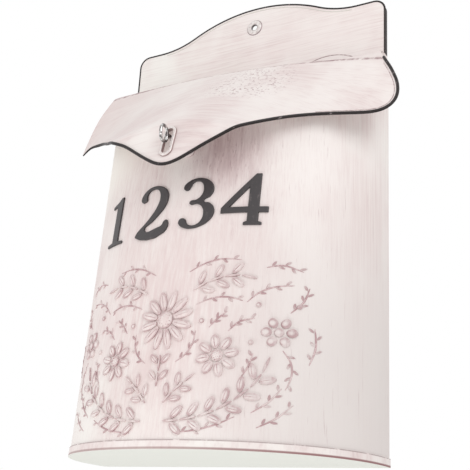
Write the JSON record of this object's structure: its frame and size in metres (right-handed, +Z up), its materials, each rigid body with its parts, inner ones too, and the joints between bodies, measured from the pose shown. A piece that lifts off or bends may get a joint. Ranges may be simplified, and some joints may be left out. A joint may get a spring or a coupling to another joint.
{
  "type": "wall mounted post box",
  "caption": "Wall mounted post box in painted sheet steel with a rounded front, a serpentine back plate and a bowed hinged lid closed by a turning eye.",
  "frame": {"origin": "on the wall plane, at the middle of the width, at the height of the flat underside", "axes": "+Z up, the wall is the plane Y = 0, the box stands out from it towards -Y, and X runs along its width"},
  "size_m": [0.2977, 0.1434, 0.4225],
  "materials": {
    "plate_paint": "worn matt paint",
    "body_paint": "worn matt paint",
    "pan_paint": "worn matt paint",
    "lid_paint": "worn matt paint",
    "eyelet_steel": "dull",
    "bright_steel": "polished",
    "bare_steel": "dull"
  },
  "bodies": {
    "box": {"back_plate": "plate_paint", "hanging_eyelet": "eyelet_steel", "body_shell": "body_paint", "bottom_pan": "pan_paint", "hinge_leaf_right": "plate_paint", "hinge_leaf_left": "plate_paint", "hinge_wire": "bare_steel", "latch_bush": "bright_steel", "latch_backing_washer": "bare_steel"},
    "lid": {"lid": "lid_paint", "slot_eyelet": "eyelet_steel"},
    "latch": {"turn_eye": "bright_steel", "shank_clip": "bare_steel"}
  },
  "joints": [
    {"name": "lid_hinge", "type": "hinge", "parent": "box", "child": "lid", "pos_m": [0, -0.0084, 0.341], "axis": [-1, 0, 0], "range_deg": [0, 75]},
    {"name": "latch_turn", "type": "hinge", "parent": "box", "child": "latch", "pos_m": [0, -0.1, 0.236], "axis": [0, 1, 0], "range_deg": [0, 90]}
  ]
}
